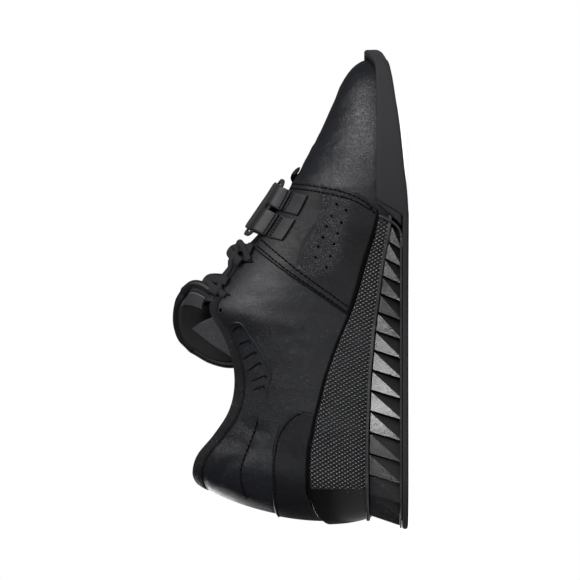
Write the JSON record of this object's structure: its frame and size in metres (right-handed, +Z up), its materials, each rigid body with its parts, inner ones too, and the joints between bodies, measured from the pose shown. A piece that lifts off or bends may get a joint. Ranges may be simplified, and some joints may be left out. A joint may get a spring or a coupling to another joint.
{
  "type": "weightlifting shoe",
  "caption": "Left weightlifting shoe with a leather upper, instep strap, padded tongue and a raised heel with faceted sides.",
  "frame": {"origin": "on the floor under the middle of the sole's plan", "axes": "+X towards the toe, +Z up, medial side at -Y"},
  "size_m": [0.2978, 0.1098, 0.1547],
  "materials": {
    "outsole_rubber": "matte black rubber with fine dust",
    "heel_gloss_plastic": "polished black plastic facets",
    "stabiliser_plastic": "semi-gloss black plastic with a fine diamond texture",
    "upper_leather": "smooth black leather with flex creases",
    "overlay_synthetic": "black synthetic leather, pebbled above the arch",
    "lining_mesh": "black padded mesh",
    "insole_fabric": "black woven cover",
    "strap_synthetic": "fine-grained black synthetic webbing",
    "ring_plastic": "smooth black plastic",
    "lace_cotton": "braided black lace"
  },
  "bodies": {
    "root": {"outsole": "outsole_rubber", "heel_block": "heel_gloss_plastic", "heel_stabiliser": "stabiliser_plastic", "upper": "upper_leather", "saddle_medial": "overlay_synthetic", "saddle_lateral": "overlay_synthetic", "heel_counter": "upper_leather", "collar_lining": "lining_mesh", "insole": "insole_fabric", "tongue": "overlay_synthetic", "strap": "strap_synthetic", "strap_ring": "ring_plastic", "webbing_tab_front": "strap_synthetic", "webbing_tab_rear": "strap_synthetic", "lace_crossing_1": "lace_cotton", "lace_crossing_2": "lace_cotton", "lace_crossing_3": "lace_cotton"}
  },
  "joints": []
}
